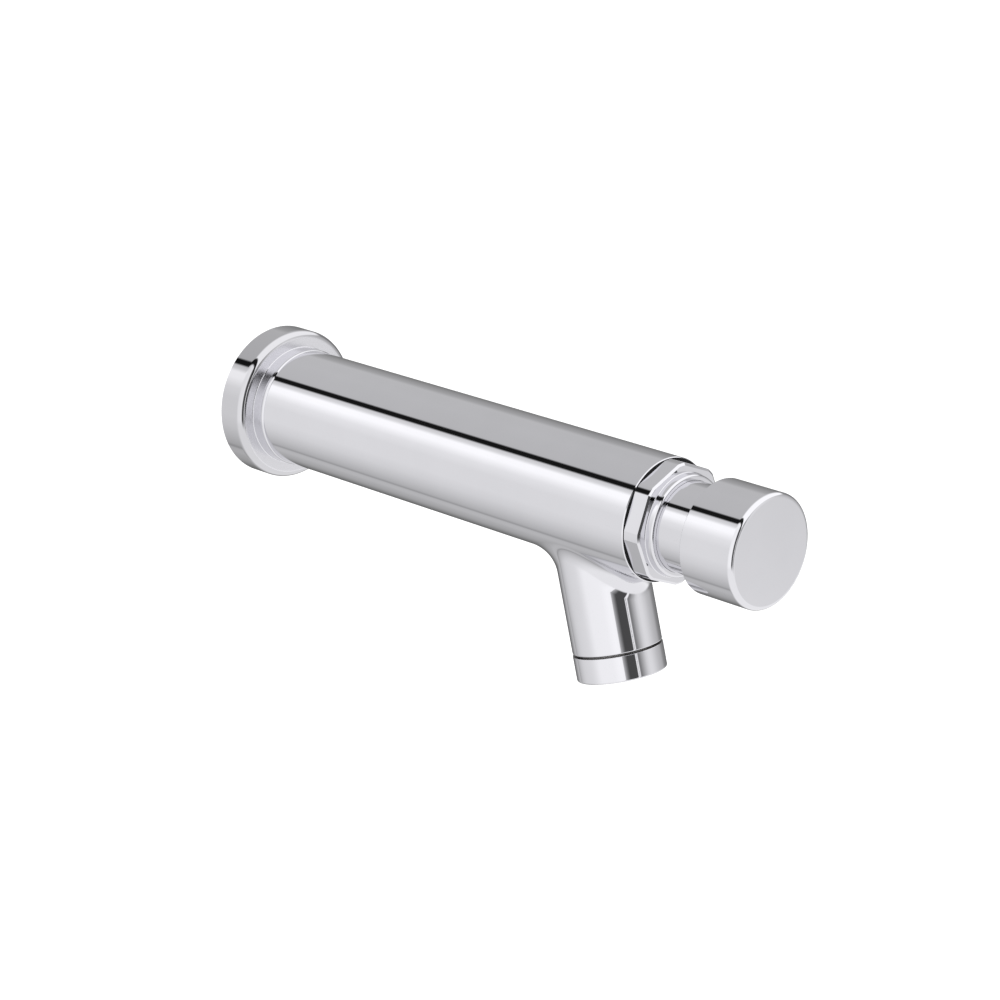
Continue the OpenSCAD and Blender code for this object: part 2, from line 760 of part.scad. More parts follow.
// Washer that shows as a black crescent beside each of the nut's flats
module nut_washer() {
    color(rubber) along_barrel()
        turned(tail_r + slip_gap, barrel_r - nut_washer_in, front, nut_back);
}

// Outline of the nut: eight flats cut on a round bar of the barrel's size
module nut_outline() {
    intersection() {
        circle(barrel_r);
        circle((barrel_r - nut_flat_depth) / cos(22.5), $fn = 8);
    }
}

// Bonnet nut: an eight sided head with a bevelled front and a round lip, on a threaded tail
module bonnet_nut() {
    color(chrome) along_barrel() difference() {
        union() {
            translate([0, 0, nut_back]) linear_extrude(nut_flat_h) nut_outline();
            translate([0, 0, flats_end])
                linear_extrude(bevel_h, scale = (barrel_r - bevel_in) / barrel_r) nut_outline();
            rotate_extrude() {
                rounded_band(0, lip_r, flats_end, nut_front, lip_round);
                band(0, tail_r, tail_back, nut_back + cut);
            }
        }
        rotate_extrude() {
            band(0, nut_bore_r, tail_back - cut, wiper_front);
            band(0, neck_r + free_gap, tail_back, nut_front + cut);
        }
    }
}

module guide_bush() {
    color(white_plastic) along_barrel()
        turned(neck_r + running_gap, nut_bore_r - slip_gap / 2, bush_back, bush_front);
}

module neck_wiper() {
    section = bush_wall - 2 * seal_gap;
    color(rubber) along_barrel()
        seal_ring(neck_r + seal_gap, section, wiper_front - wiper_room / 2);
}

// Button neck: a deep cup that slides in the nut, with a ledge that keeps it in
neck_front = cap_face - cap_face_h - cap_seat_gap;
module button_neck() {
    color(chrome) along_barrel() rotate_extrude() difference() {
        union() {
            band(0, neck_r, neck_back, neck_front);
            band(0, stop_r, neck_back, stop_front);
        }
        band(0, neck_in_r, neck_back + neck_floor, neck_front + cut);
        band(0, stem_thread_r + slip_gap, neck_back - cut, neck_back + neck_floor + cut);
    }
}

module stem_nut() {
    back = neck_back + neck_floor;
    color(steel) along_barrel() difference() {
        hex_bar(stem_thread_r + nut_meat, back, back + stem_nut_h);
        translate([0, 0, back - cut])
            cylinder(r = stem_thread_r + slip_gap, h = stem_nut_h + 2 * cut);
    }
}

// Push cap: a turned cup screwed on to the neck, with a softly rounded face edge
module button_cap() {
    color(chrome) along_barrel() rotate_extrude() difference() {
        rounded_band(0, cap_r, cap_back, cap_face, cap_round);
        band(0, neck_r + slip_gap, cap_back - cut, cap_face - cap_face_h);
    }
}

// Aerator housing: the spout's end ring with a thread that goes up inside the spout
module aerator_housing() {
    color(chrome) along_spout() rotate_extrude() difference() {
        union() {
            rounded_band(0, ring_r, ring_top, spout_length, ring_round);
            band(0, aerator_thread_r, aerator_top, ring_top + cut);
        }
        band(0, pocket_r, aerator_top - cut, pocket_floor);
        band(0, outlet_r, pocket_floor - cut, spout_length + cut);
    }
}

module aerator_seal() {
    color(rubber) along_spout()
        turned(aerator_thread_r - aerator_seal_w, aerator_thread_r,
            aerator_top - aerator_seal_h, aerator_top);
}

// One ring of holes through the flow plate
module plate_ring(holes, ring_radius) {
    for (i = [0 : holes - 1]) rotate(i * 360 / holes)
        translate([ring_radius, 0, aerator_top - cut])
            cylinder(d = plate_hole, h = plate_h + 2 * cut, $fn = 24);
}

// Flow plate: a disc drilled with two rings of holes
module aerator_plate() {
    color(white_plastic) along_spout() difference() {
        turned(0, insert_r, aerator_top, plate_bottom);
        plate_ring(plate_inner_holes, plate_inner_d / 2);
        plate_ring(plate_outer_holes, plate_outer_d / 2);
    }
}

// Insert: a mixing tube with four vanes between the plate and the screen
module aerator_insert() {
    color(white_plastic) along_spout() {
        turned(insert_r - insert_wall, insert_r, plate_bottom, screen_top);
        for (turn = [0, 90]) rotate(turn)
            translate([insert_wall / 2 - insert_r, -insert_vane / 2, plate_bottom])
                cube([2 * insert_r - insert_wall, insert_vane, screen_top - plate_bottom]);
    }
}

// Screen: a thin disc with a square grid of openings that the water falls through
module aerator_screen() {
    reach = insert_r - screen_rim - screen_hole / 2;
    count = floor(reach / screen_pitch);
    color(white_plastic) along_spout() translate([0, 0, screen_top]) difference() {
        cylinder(r = insert_r, h = screen_h);
        for (i = [-count : count], j = [-count : count])
            if (norm([i, j]) * screen_pitch < reach)
                translate([i * screen_pitch - screen_hole / 2, j * screen_pitch - screen_hole / 2, -cut])
                    cube([screen_hole, screen_hole, screen_h + 2 * cut]);
    }
}

wall_flange();
flange_gasket();
tap_body();
inlet_nipple();
inlet_o_ring();
inlet_filter();
flow_restrictor();
valve_seat();
seat_o_ring();
valve_washer();
valve_holder();
valve_nut();
stem();
timing_cylinder();
timing_jet();
stem_o_ring();
return_spring();
piston();
piston_cup_seal();
spring_washer();
piston_clip();
bonnet_seal();
nut_washer();
bonnet_nut();
guide_bush();
neck_wiper();
button_neck();
stem_nut();
button_cap();
aerator_housing();
aerator_seal();
aerator_plate();
aerator_insert();
aerator_screen();
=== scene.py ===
import math

import bpy
from mathutils import Matrix, Vector


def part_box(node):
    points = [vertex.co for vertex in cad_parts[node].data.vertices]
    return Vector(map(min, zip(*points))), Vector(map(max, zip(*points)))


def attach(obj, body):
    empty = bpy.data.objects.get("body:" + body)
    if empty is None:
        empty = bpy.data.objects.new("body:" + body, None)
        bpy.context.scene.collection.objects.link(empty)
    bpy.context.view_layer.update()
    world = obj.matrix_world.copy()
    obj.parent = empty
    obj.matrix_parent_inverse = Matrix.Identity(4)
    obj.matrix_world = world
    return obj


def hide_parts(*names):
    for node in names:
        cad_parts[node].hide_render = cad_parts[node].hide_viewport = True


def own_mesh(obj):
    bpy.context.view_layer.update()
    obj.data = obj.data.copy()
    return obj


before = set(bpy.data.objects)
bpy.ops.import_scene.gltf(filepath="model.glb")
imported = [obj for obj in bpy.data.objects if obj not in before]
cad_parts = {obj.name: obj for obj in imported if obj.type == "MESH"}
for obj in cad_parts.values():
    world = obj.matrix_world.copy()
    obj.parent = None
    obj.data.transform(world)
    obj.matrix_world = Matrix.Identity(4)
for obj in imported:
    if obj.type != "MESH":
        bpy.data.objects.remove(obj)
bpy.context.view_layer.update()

# Wall flange
# A turned brass cover that hides the hole in the wall. It is polished and chrome plated, slips on
# the barrel's spigot, and its straight collar, rounded at the front, closes on the barrel.
MM = 0.001
ARC_STEP = math.radians(3)
ROUND_STEPS = 256


def right_of(along):
    """Unit vector to the right of a step in a turned outline, which is the side that faces out."""
    return Vector((along.y, -along.x)).normalized()


def arc(centre, radius, start, end):
    """Round run of an outline between two angles. One that turns back is a hollow."""
    steps = max(2, math.ceil(abs(end - start) / ARC_STEP))
    side = 1 if end > start else -1
    run = []
    for k in range(steps + 1):
        angle = start + (end - start) * k / steps
        out = Vector((math.cos(angle), math.sin(angle)))
        run.append((Vector(centre) + radius * out, side * out))
    return run


def rounded(corners):
    """Runs of an outline given by its corners (radius, distance, rounding). The ends are sharp."""
    points = [Vector(corner[:2]) for corner in corners]
    runs, run = [], [(points[0], right_of(points[1] - points[0]))]
    for i in range(1, len(corners) - 1):
        into, away = (points[i] - points[i - 1]).normalized(), (points[i + 1] - points[i]).normalized()
        facing = right_of(into)
        rounding = corners[i][2]
        if rounding == 0:
            runs.append(run + [(points[i], facing)])
            run = [(points[i], right_of(away))]
            continue
        turn = math.atan2(into.x * away.y - into.y * away.x, into.dot(away))
        side = 1 if turn > 0 else -1
        centre = points[i] - into * rounding * math.tan(abs(turn) / 2) - side * rounding * facing
        first = math.atan2(facing.y, facing.x)
        if side < 0:
            first += math.pi
        run += arc(centre, rounding, first, first + turn)
    return runs + [run + [(points[-1], right_of(points[-1] - points[-2]))]]


def full_turn(count=ROUND_STEPS):
    return [2 * math.pi * i / count for i in range(count)]


def ring(point, facing, angles):
    """One point of a turned outline taken round its axis, as (place, normal) pairs."""
    return [((point.x * math.cos(a), point.x * math.sin(a), point.y),
             (facing.x * math.cos(a), facing.x * math.sin(a), facing.y)) for a in angles]


def turned(runs, angles):
    return [[ring(point, facing, angles) for point, facing in run] for run in runs]


def skin(name, place, bands=(), patches=()):
    """Mesh over rows of (place, normal) pairs. Bands close round their axis and patches don't."""
    corners, faces, normals = {}, [], []
    for rows, wraps in [(band, True) for band in bands] + [(patch, False) for patch in patches]:
        for lower, upper in zip(rows, rows[1:]):
            for i in range(0 if wraps else 1, len(lower)):
                face = {}
                for point, normal in (lower[i - 1], lower[i], upper[i], upper[i - 1]):
                    key = tuple(round(c, 8) for c in point)
                    face.setdefault(corners.setdefault(key, len(corners)), normal)
                if len(face) > 2:
                    faces.append(list(face))
                    normals.extend(face.values())
    mesh = bpy.data.meshes.new(name)
    mesh.from_pydata([place @ Vector(corner) for corner in corners], [], faces)
    mesh.polygons.foreach_set("use_smooth", [True] * len(faces))
    spin = place.to_3x3()
    mesh.normals_split_custom_set([spin @ Vector(normal).normalized() for normal in normals])
    piece = bpy.data.objects.new(name, mesh)
    bpy.context.scene.collection.objects.link(piece)
    return piece


def node_group(name, inputs, outputs):
    """Empty shader group with its sockets, given with its input and output nodes."""
    group = bpy.data.node_groups.new(name, "ShaderNodeTree")
    for title, kind in inputs:
        group.interface.new_socket(title, in_out="INPUT", socket_type=kind)
    for title, kind in outputs:
        group.interface.new_socket(title, in_out="OUTPUT", socket_type=kind)
    enter, leave = group.nodes.new("NodeGroupInput"), group.nodes.new("NodeGroupOutput")
    return group, enter, leave


def add(tree, kind, values=None, **settings):
    """Adds a node, sets its properties and its sockets, and links a socket given as another one."""
    node = tree.nodes.new(kind)
    for title, value in settings.items():
        setattr(node, title, value)
    for socket, value in (values or {}).items():
        if isinstance(value, bpy.types.NodeSocket):
            tree.links.new(value, node.inputs[socket])
        else:
            node.inputs[socket].default_value = value
    return node


# Polish: soft smears and hair lines that change a bright metal's gloss a little from place to place
polish, polish_in, polish_out = node_group(
    "polish",
    [("Tone", "NodeSocketColor"), ("Bright", "NodeSocketFloat"), ("Dull", "NodeSocketFloat"),
     ("Smear Scale", "NodeSocketFloat"), ("Line Scale", "NodeSocketFloat")],
    [("Color", "NodeSocketColor"), ("Roughness", "NodeSocketFloat"), ("Height", "NodeSocketFloat")])
polish_place = add(polish, "ShaderNodeTexCoord")
polish_smear = add(polish, "ShaderNodeTexNoise", {
    "Vector": polish_place.outputs["Object"], "Scale": polish_in.outputs["Smear Scale"],
    "Detail": 4.0, "Roughness": 0.55})
polish_stretch = add(polish, "ShaderNodeMapping", {
    "Vector": polish_place.outputs["Object"], "Scale": (1.0, 0.08, 1.0)})
polish_lines = add(polish, "ShaderNodeTexNoise", {
    "Vector": polish_stretch.outputs["Vector"], "Scale": polish_in.outputs["Line Scale"],
    "Detail": 2.0})
polish_both = add(polish, "ShaderNodeMath", {
    0: polish_smear.outputs["Fac"], 1: polish_lines.outputs["Fac"]}, operation="MULTIPLY")
polish_gloss = add(polish, "ShaderNodeMapRange", {
    "Value": polish_both.outputs[0], "From Min": 0.12, "From Max": 0.42,
    "To Min": polish_in.outputs["Bright"], "To Max": polish_in.outputs["Dull"]})
polish_shade = add(polish, "ShaderNodeMapRange", {
    "Value": polish_smear.outputs["Fac"], "From Min": 0.3, "From Max": 0.75,
    "To Min": 1.0, "To Max": 0.965})
polish_tone = add(polish, "ShaderNodeVectorMath", {
    0: polish_in.outputs["Tone"], "Scale": polish_shade.outputs[0]}, operation="SCALE")
polish.links.new(polish_tone.outputs[0], polish_out.inputs["Color"])
polish.links.new(polish_gloss.outputs[0], polish_out.inputs["Roughness"])
polish.links.new(polish_lines.outputs["Fac"], polish_out.inputs["Height"])


def new_material(name):
    """Material with a Principled shader, given with its node tree."""
    material = bpy.data.materials.new(name)
    material.use_nodes = True
    tree = material.node_tree
    return material, tree, tree.nodes["Principled BSDF"]


def polished_metal(name, tone, bright, dull, smear_scale, line_scale, line_depth):
    """Bright metal whose gloss comes from the polish group."""
    material, tree, shader = new_material(name)
    finish = add(tree, "ShaderNodeGroup", {
        "Tone": (*tone, 1.0), "Bright": bright, "Dull": dull,
        "Smear Scale": smear_scale, "Line Scale": line_scale}, node_tree=polish)
    bump = add(tree, "ShaderNodeBump", {
        "Height": finish.outputs["Height"], "Strength": 0.2, "Distance": line_depth})
    shader.inputs["Metallic"].default_value = 1.0
    tree.links.new(finish.outputs["Color"], shader.inputs["Base Color"])
    tree.links.new(finish.outputs["Roughness"], shader.inputs["Roughness"])
    tree.links.new(bump.outputs["Normal"], shader.inputs["Normal"])
    return material


def chrome_plate(name, tone, bright, dull):
    """Chrome on polished brass. Its faint smears and hair lines are alike on every piece."""
    return polished_metal(name, tone, bright, dull, smear_scale=45.0, line_scale=900.0,
                          line_depth=0.0000006)


chrome_tone = (0.672, 0.669, 0.699)
mirror_bright = 0.015
mirror_dull = 0.05
chrome = chrome_plate("chrome_plate", chrome_tone, mirror_bright, mirror_dull)


def dress(piece, material, slot, body, *nodes):
    """Gives a piece its finish, sets it on its body and lets it stand for its CAD nodes."""
    piece.data.materials.append(material)
    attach(piece, body)
    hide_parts(*nodes)


barrel_axes = Matrix.Rotation(math.radians(90), 4, "X")
flange_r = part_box("wall_flange")[1].x
flange_depth = -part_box("wall_flange")[0].y
flange_face = 9.9 * MM
flange_edge_r = 2.4 * MM
flange_foot = 0.3 * MM
collar_r = 19.07 * MM
collar_edge_r = 1.2 * MM
collar_edge_turn = math.radians(40)
collar_lean = math.radians(0.2)
collar_root_r = 0.3 * MM
flange_bore_r = 17.6 * MM
gasket_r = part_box("flange_gasket")[1].x
gasket_w = 2.4 * MM
gasket_play = 0.1 * MM
flange_hub_r = gasket_r - gasket_w - gasket_play
flange_rim_in_r = gasket_r + gasket_play
flange_hollow = -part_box("flange_gasket")[0].y + gasket_play

quarter = math.pi / 2
collar_edge = arc((collar_r - collar_edge_r * math.cos(collar_edge_turn),
                   flange_depth - collar_edge_r * math.sin(collar_edge_turn)),
                  collar_edge_r, collar_lean, collar_edge_turn)
collar_side = collar_edge[0][0]
root_r = collar_side.x + (collar_side.y - flange_face) * math.tan(collar_lean)
flange_rim = rounded([
    (flange_r, flange_foot), (flange_r, flange_face, flange_edge_r),
    (root_r, flange_face, collar_root_r), collar_side])[0] + collar_edge
flange_inside = rounded([
    (collar_r, flange_depth), (flange_bore_r, flange_depth, 0), (flange_bore_r, 0, 0),
    (flange_hub_r, 0, 0), (flange_hub_r, flange_hollow, 0), (flange_rim_in_r, flange_hollow, 0),
    (flange_rim_in_r, 0, 0), (flange_r - flange_foot, 0, 0), (flange_r, flange_foot)])
wall_flange = skin("wall_flange_plated", barrel_axes,
                   turned([flange_rim, *flange_inside], full_turn()))

# The flange's rim gets a darker copy of the body's chrome: painted shade
flange_painted_shade_tone = (0.565, 0.562, 0.585)
flange_shaded_chrome = chrome_plate("chrome_plate_flange_painted_shade", flange_painted_shade_tone, mirror_bright, mirror_dull)
dress(wall_flange, flange_shaded_chrome, "chrome", "tap", "wall_flange")

# The polishing wheel does not reach well into the corner beside the collar, so the flat face is
# duller. The collar in front of it is as bright as the body.
corner_bright = 0.18
corner_dull = 0.27
face_slack = 0.05 * MM
corner_chrome = chrome_plate("chrome_plate_in_corner", chrome_tone, corner_bright, corner_dull)
wall_flange.data.materials.append(corner_chrome)
wall_flange.data.materials.append(chrome)
for face in wall_flange.data.polygons:
    distance = -face.center.y
    if abs(distance - flange_face) < face_slack:
        face.material_index = 1
    elif distance > flange_face:
        face.material_index = 2

# Foam ring
# A ring punched from closed cell foam. It lies in the flange's hollow and takes up the wall's
# unevenness, so its face shows its cut cells.

# Places of the two colours and of the result among a mix node's sockets
MIX_FIRST = 6
MIX_SECOND = 7
MIX_RESULT = 2

# Grain: cells or pits of one size, darker and duller where they sink
grain, grain_in, grain_out = node_group(
    "grain",
    [("Tone", "NodeSocketColor"), ("Deep Tone", "NodeSocketColor"), ("Dullness", "NodeSocketFloat"),
     ("Cell Scale", "NodeSocketFloat")],
    [("Color", "NodeSocketColor"), ("Roughness", "NodeSocketFloat"), ("Height", "NodeSocketFloat")])
grain_place = add(grain, "ShaderNodeTexCoord")
grain_pits = add(grain, "ShaderNodeTexNoise", {
    "Vector": grain_place.outputs["Object"], "Scale": grain_in.outputs["Cell Scale"],
    "Detail": 5.0, "Roughness": 0.6})
grain_fine = add(grain, "ShaderNodeMath", {
    0: grain_in.outputs["Cell Scale"], 1: 1.7}, operation="MULTIPLY")
grain_cells = add(grain, "ShaderNodeTexVoronoi", {
    "Vector": grain_place.outputs["Object"], "Scale": grain_fine.outputs[0]})
grain_depth = add(grain, "ShaderNodeMath", {
    0: grain_pits.outputs["Fac"], 1: grain_cells.outputs["Distance"]}, operation="MULTIPLY")
grain_tone = add(grain, "ShaderNodeMix", {
    "Factor": grain_depth.outputs[0], MIX_FIRST: grain_in.outputs["Deep Tone"],
    MIX_SECOND: grain_in.outputs["Tone"]}, data_type="RGBA")
grain_change = add(grain, "ShaderNodeMapRange", {
    "Value": grain_pits.outputs["Fac"], "To Min": -0.08, "To Max": 0.08})
grain_gloss = add(grain, "ShaderNodeMath", {
    0: grain_in.outputs["Dullness"], 1: grain_change.outputs[0]}, operation="ADD")
grain.links.new(grain_tone.outputs[MIX_RESULT], grain_out.inputs["Color"])
grain.links.new(grain_gloss.outputs[0], grain_out.inputs["Roughness"])
grain.links.new(grain_depth.outputs[0], grain_out.inputs["Height"])


def soft_material(name, tone, dullness, cell_scale, cell_depth, shade):
    """Dull moulded or cut stuff whose surface comes from the grain group."""
    material, tree, shader = new_material(name)
    surface = add(tree, "ShaderNodeGroup", {
        "Tone": (*tone, 1.0), "Deep Tone": (*[shade * c for c in tone], 1.0), "Dullness": dullness,
        "Cell Scale": cell_scale}, node_tree=grain)
    bump = add(tree, "ShaderNodeBump", {
        "Height": surface.outputs["Height"], "Strength": 0.5, "Distance": cell_depth})
    shader.inputs["Specular IOR Level"].default_value = 0.2
    tree.links.new(surface.outputs["Color"], shader.inputs["Base Color"])
    tree.links.new(surface.outputs["Roughness"], shader.inputs["Roughness"])
    tree.links.new(bump.outputs["Normal"], shader.inputs["Normal"])
    return material


def finish_nodes(material, *names):
    """Gives CAD nodes that keep their own shape a procedural finish."""
    for name in names:
        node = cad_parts[name]
        node.data.materials.clear()
        node.data.materials.append(material)


foam = soft_material("closed_cell_foam", (0.05, 0.05, 0.055), dullness=0.85, cell_scale=1400.0,
                     cell_depth=0.0002, shade=0.35)
finish_nodes(foam, "flange_gasket")

# Tap body
# One brass casting of barrel and spout, turned, polished and chrome plated. The spout grows out of
# the barrel in a hollow blend that is tight in front and generous behind.
barrel_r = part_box("bonnet_nut")[1].x
barrel_front = -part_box("nut_washer")[1].y
barrel_chamfer = 0.25 * MM
spout_r = 13.75 * MM
spout_lean = math.radians(15)
spout_setback = 30.7 * MM
spout_s = barrel_front - spout_setback
spout_end = 46.65 * MM
spout_edge = 0.55 * MM
blend_rear = 13.5 * MM
blend_front = 6.5 * MM
BLEND_ROWS = 24
QUARTER_STEPS = 36
UPPER_STEPS = 190
SEARCH_STEPS = 1200
SEARCH_STEP = math.radians(0.05)


def ball_in_blend(turn):
    """The ball that rolls round the joint: its radius, its centre and the two ways it touches."""
    rise = math.sin(turn)
    radius = (blend_rear + blend_front) / 2 - (blend_rear - blend_front) / 2 * rise
    out = Vector((math.cos(turn), rise * math.sin(spout_lean), rise * math.cos(spout_lean)))
    along = Vector((0, -math.cos(spout_lean), math.sin(spout_lean)))
    beside, round_barrel = spout_r + radius, barrel_r + radius
    reach = (math.sqrt(round_barrel ** 2 - (beside * out.x) ** 2)
             + beside * rise * math.sin(spout_lean)) / math.cos(spout_lean)
    centre = Vector((0, 0, spout_s)) + reach * along + beside * out
    return radius, centre, -out, Vector((-centre.x, -centre.y, 0)) / round_barrel


def blend_point(turn, share):
    """Point of the blend, from the barrel at share 0 to the spout at share 1."""
    radius, centre, to_spout, to_barrel = ball_in_blend(turn)
    wide = to_spout.angle(to_barrel)
    way = (math.sin((1 - share) * wide) * to_barrel + math.sin(share * wide) * to_spout) / math.sin(wide)
    return centre + radius * way


def blend_corner(turn, share):
    """The same with its normal, from the slopes on both sides of it."""
    small = 1e-4
    across = blend_point(turn + small, share) - blend_point(turn - small, share)
    along = blend_point(turn, share + small) - blend_point(turn, share - small)
    return tuple(blend_point(turn, share)), tuple(across.cross(along).normalized())


def barrel_angle(turn):
    """Angle round the barrel at which the blend meets it."""
    point = blend_point(turn, 0)
    return math.atan2(point.y, point.x)


def on_barrel(angle, distance):
    out = (math.cos(angle), math.sin(angle))
    return (barrel_r * out[0], barrel_r * out[1], distance), (*out, 0)


def blend_edge(turn):
    """Where the blend meets the barrel, with the barrel's normal."""
    angle = barrel_angle(turn)
    return tuple(blend_point(turn, 0)), (math.cos(angle), math.sin(angle), 0)


# The blend's widest reach round the barrel parts the front of the joint from its rear
side_turn = max((SEARCH_STEP * k for k in range(-SEARCH_STEPS, SEARCH_STEPS)), key=barrel_angle)
rear_side = [-quarter + (side_turn + quarter) * k / QUARTER_STEPS for k in range(QUARTER_STEPS + 1)]
front_side = [side_turn + (quarter - side_turn) * k / QUARTER_STEPS for k in range(QUARTER_STEPS + 1)]
right_side = rear_side + front_side[1:]
spout_turns = right_side + [math.pi - turn for turn in reversed(right_side[1:-1])]
front_turns = [math.pi - turn for turn in front_side[:-1]] + front_side[::-1]
rear_turns = [math.pi - turn for turn in reversed(rear_side[1:])] + rear_side
spout_rows = [[blend_corner(turn, k / BLEND_ROWS) for turn in spout_turns] for k in range(BLEND_ROWS + 1)]
spout_axes = (barrel_axes @ Matrix.Translation((0, 0, spout_s))
              @ Matrix.Rotation(math.radians(90) - spout_lean, 4, "X"))
to_barrel_axes = barrel_axes.inverted() @ spout_axes


def in_barrel_axes(row):
    """A ring drawn round the spout's axis, in the barrel's axes."""
    spin = to_barrel_axes.to_3x3()
    return [(tuple(to_barrel_axes @ Vector(p)), tuple(spin @ Vector(n))) for p, n in row]


aerator_bore_r = 11.85 * MM
aerator_floor = 36.4 * MM
passage_r = 7.5 * MM
passage_top = 18.6 * MM
spout_mouth = rounded([
    (spout_r, spout_end - 2 * spout_edge), (spout_r, spout_end, spout_edge),
    (aerator_bore_r, spout_end, 0), (aerator_bore_r, aerator_floor, 0), (passage_r, aerator_floor, 0),
    (passage_r, passage_top, 0), (0, passage_top)])
spout_bands = [[in_barrel_axes(row) for row in band] for band in turned(spout_mouth, spout_turns)]
spout_bands[0] = spout_rows + spout_bands[0]

# The barrel's skin runs in strips along it, cut short where the blend takes over
right_angle, left_angle = barrel_angle(side_turn), barrel_angle(math.pi - side_turn) + 2 * math.pi
upper_angles = [right_angle + (left_angle - right_angle) * k / UPPER_STEPS for k in range(UPPER_STEPS + 1)]
widest_s = blend_point(side_turn, 0).z
skin_front = barrel_front - barrel_chamfer
front_angles = [barrel_angle(turn) for turn in front_turns]
rear_angles = [barrel_angle(turn) for turn in rear_turns]
barrel_patches = [
    [[on_barrel(a, s) for a in upper_angles] for s in (flange_depth, widest_s, skin_front)],
    [[blend_edge(t) for t in front_turns], [on_barrel(a, skin_front) for a in front_angles]],
    [[on_barrel(a, flange_depth) for a in rear_angles], [blend_edge(t) for t in rear_turns]]]
upper_angles = upper_angles[1:-1]
front_angles, rear_angles = front_angles + upper_angles, rear_angles + upper_angles

mouth_r = 16.9 * MM
mouth_floor = -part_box("bonnet_seal")[1].y
chamber_r = 15.2 * MM
web_front = 108 * MM
web_back = 100 * MM
web_r = 12.5 * MM
water_r = 15.5 * MM
nipple_end = -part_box("inlet_nipple")[0].y
thread_bore_r = 10.58 * MM
seal_groove_r = 12.38 * MM
seal_groove_h = 1.8 * MM
barrel_back = 5 * MM
spigot_r = 17.5 * MM
mouth_bore = rounded([
    (barrel_r, skin_front), (barrel_r - barrel_chamfer, barrel_front, 0), (mouth_r, barrel_front, 0),
    (mouth_r, mouth_floor, 0), (chamber_r, mouth_floor, 0), (chamber_r, web_front, 0),
    (web_r, web_front, 0), (web_r, web_back)])
inlet_bore = rounded([
    (water_r, web_back), (water_r, nipple_end, 0), (thread_bore_r, nipple_end, 0),
    (thread_bore_r, barrel_back + seal_groove_h, 0), (seal_groove_r, barrel_back + seal_groove_h, 0),
    (seal_groove_r, barrel_back, 0), (spigot_r, barrel_back, 0), (spigot_r, flange_depth, 0),
    (barrel_r, flange_depth)])
web_back_face = [ring(Vector((web_r, web_back)), Vector((0, -1)), front_angles),
                 ring(Vector((water_r, web_back)), Vector((0, -1)), rear_angles)]
tap_bands = [*spout_bands, *turned(mouth_bore, front_angles), web_back_face,
             *turned(inlet_bore, rear_angles)]
tap_body = skin("tap_body_plated", barrel_axes, tap_bands, barrel_patches)
dress(tap_body, chrome, "chrome", "tap", "tap_body")

# Inlet nipple
# A double ended brass screw. One end goes into the wall's half inch socket, the other into the
# barrel, and its hexagon is tightened with a spanner. It is turned and left unplated.
thread_pitch = 1.814 * MM
thread_depth = 1.16 * MM
thread_crest_r = 10.4775 * MM
thread_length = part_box("inlet_nipple")[1].y
thread_chamfer = 0.8 * MM
relief_r = 9.48 * MM
relief_lead = 0.4 * MM
hex_back = 1.5 * MM
hex_flat_r = 11.98 * MM
hex_corner_r = 13.3 * MM
hex_chamfer = 0.5 * MM
nipple_bore_r = 7 * MM
nipple_ledge_r = 5.8 * MM
nipple_shelf = 13 * MM
strainer_recess_r = 8.2 * MM
strainer_recess = 1.2 * MM
THREAD_STEPS = 72
ROWS_A_PITCH = 12


def thread_r(angle, distance):
    """Radius of the thread's rounded crests and roots, run down to nothing at both ends."""
    wave = 0.5 + 0.5 * math.cos(2 * math.pi * distance / thread_pitch - angle)
    chamfer = min(1, (distance + thread_length) / thread_chamfer)
    run_out = min(1, -distance / relief_lead)
    return thread_crest_r - thread_depth * (1 - wave * max(0, min(chamfer, run_out)))


def thread_corner(angle, distance):
    small = 1e-6
    r = thread_r(angle, distance)
    round_slope = (thread_r(angle + small, distance) - thread_r(angle - small, distance)) / (2 * small * r)
    long_slope = (thread_r(angle, distance + small) - thread_r(angle, distance - small)) / (2 * small)
    c, s = math.cos(angle), math.sin(angle)
    normal = Vector((c + round_slope * s, s - round_slope * c, -long_slope)).normalized()
    return (r * c, r * s, distance), tuple(normal)


def flat_sided(sides, flat_r, round_r, corner_steps, flat_steps):
    """Outline of a round bar with flats: points, their normals and the way an inset moves them."""
    outline = []
    half = math.pi / sides
    flat_half = math.acos(flat_r / round_r)
    lean = 1 + math.cos(flat_half)
    same_place = 1e-7
    for i in range(sides):
        middle = 2 * half * i
        for k in range(-corner_steps, corner_steps + 1):
            angle = middle + (half - flat_half) * k / corner_steps
            out = Vector((math.cos(angle), math.sin(angle)))
            outline.append([round_r * out, out, out])
        facing = Vector((math.cos(middle + half), math.sin(middle + half)))
        along = Vector((-facing.y, facing.x))
        reach = round_r * math.sin(flat_half)
        for k in range(flat_steps + 1):
            point = flat_r * facing + reach * (2 * k / flat_steps - 1) * along
            outline.append([point, facing, facing])
    for here, there in zip(outline, outline[1:] + outline[:1]):
        if (here[0] - there[0]).length < same_place:
            here[2] = there[2] = (here[1] + there[1]) / lean
    return outline


def bar_row(outline, inset, distance, lean):
    """The outline drawn in by an inset, at a distance along its axis, its normals leant forward."""
    row = []
    for point, out, inward in outline:
        place = point - inset * inward
        row.append(((place.x, place.y, distance),
                    (out.x * math.cos(lean), out.y * math.cos(lean), math.sin(lean))))
    return row


def outline_angles(outline):
    return [math.atan2(point.y, point.x) for point, out, inward in outline]


def flat_between(inner_r, outline, inset, distance, facing):
    """Flat ring between a circle and a bar's outline. Facing is 1 towards the front."""
    rows = [bar_row(outline, inset, distance, facing * math.pi / 2),
            ring(Vector((inner_r, distance)), Vector((0, facing)), outline_angles(outline))]
    return rows if facing > 0 else rows[::-1]


